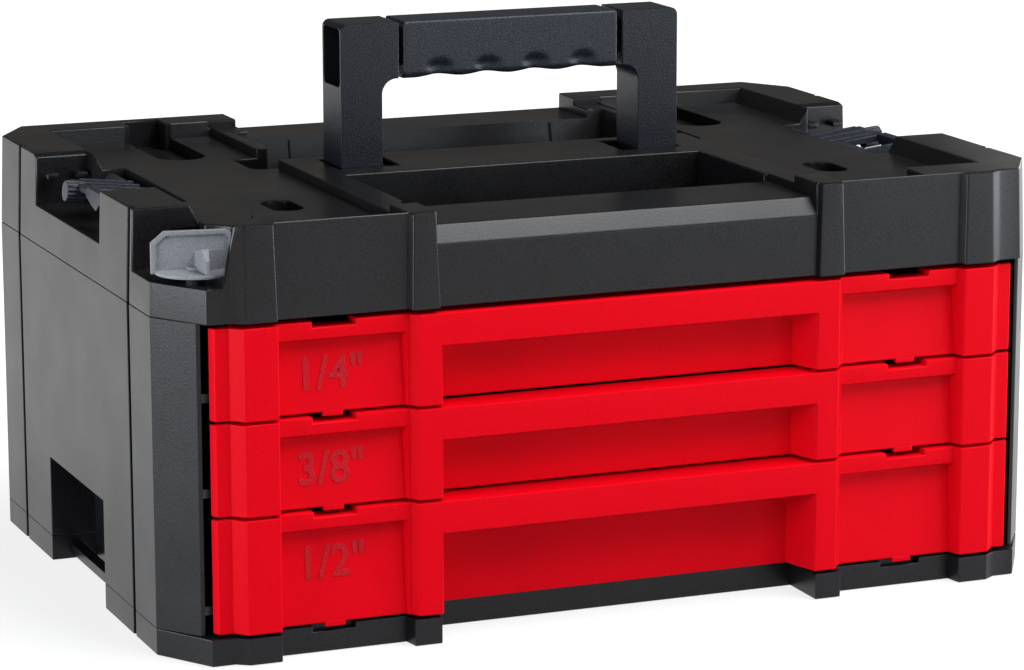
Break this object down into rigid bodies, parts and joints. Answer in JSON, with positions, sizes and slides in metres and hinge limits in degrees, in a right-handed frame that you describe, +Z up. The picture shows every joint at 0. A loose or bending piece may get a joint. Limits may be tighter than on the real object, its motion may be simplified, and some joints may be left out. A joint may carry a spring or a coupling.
{
  "type": "socket organizer drawer box",
  "caption": "Stackable tool box with three sliding drawers of socket trays, a telescoping carry handle, side latches and a drawer lock lever.",
  "frame": {"origin": "centre of the footprint on the ground plane, under the plinth", "axes": "+Z up, drawers pull out towards -Y, +X to the right as seen from the front"},
  "size_m": [0.44, 0.314, 0.2645],
  "materials": {
    "shell_black": "fine grain, low sheen",
    "cover_black": "fine grain, low sheen",
    "front_red": "satin moulded red, fine grain",
    "tub_black": "smooth moulded",
    "tray_grey": "smooth moulded",
    "lever_grey": "fine grain",
    "latch_black": "fine grain",
    "handle_black": "fine grain, low sheen",
    "grip_black": "soft moulded-over grip",
    "steel": "zinc-plated"
  },
  "bodies": {
    "case": {"back_panel": "shell_black", "base_plinth": "shell_black", "base_screws": "steel", "cover_screws": "steel", "latch_pin_left": "steel", "latch_pin_right": "steel", "lock_bushes": "shell_black", "runner_panel_left": "shell_black", "runner_panel_right": "shell_black", "side_shell_left": "shell_black", "side_shell_right": "shell_black", "top_cover": "cover_black"},
    "drawer_bottom": {"bottom_drawer_front": "front_red", "bottom_drawer_tub": "tub_black", "bottom_front_screws": "steel", "bottom_socket_tray": "tray_grey"},
    "handle": {"handle_frame": "handle_black", "handle_grip": "grip_black", "handle_stops": "handle_black"},
    "latch_left": {"latch_left": "latch_black"},
    "latch_right": {"latch_right": "latch_black"},
    "drawer_lock": {"lock_lever": "lever_grey", "lock_rod": "steel"},
    "drawer_middle": {"middle_drawer_front": "front_red", "middle_drawer_tub": "tub_black", "middle_front_screws": "steel", "middle_socket_tray": "tray_grey"},
    "drawer_top": {"top_drawer_front": "front_red", "top_drawer_tub": "tub_black", "top_front_screws": "steel", "top_socket_tray": "tray_grey"}
  },
  "joints": [
    {"name": "bottom_drawer_slide", "type": "slide", "parent": "case", "child": "drawer_bottom", "axis": [0, -1, 0], "range_m": [0, 0.2]},
    {"name": "middle_drawer_slide", "type": "slide", "parent": "case", "child": "drawer_middle", "axis": [0, -1, 0], "range_m": [0, 0.2]},
    {"name": "top_drawer_slide", "type": "slide", "parent": "case", "child": "drawer_top", "axis": [0, -1, 0], "range_m": [0, 0.2]},
    {"name": "handle_slide", "type": "slide", "parent": "case", "child": "handle", "axis": [0, 0, -1], "range_m": [0, 0.038]},
    {"name": "latch_left_hinge", "type": "hinge", "parent": "case", "child": "latch_left", "pos_m": [-0.184, 0.0055, 0.1852], "axis": [0, 1, 0], "range_deg": [0, 90]},
    {"name": "latch_right_hinge", "type": "hinge", "parent": "case", "child": "latch_right", "pos_m": [0.184, 0.0055, 0.1852], "axis": [0, -1, 0], "range_deg": [0, 90]},
    {"name": "lock_turn", "type": "hinge", "parent": "case", "child": "drawer_lock", "pos_m": [-0.199, -0.127, 0.1714], "axis": [0, 0, 1], "range_deg": [0, 50]}
  ]
}
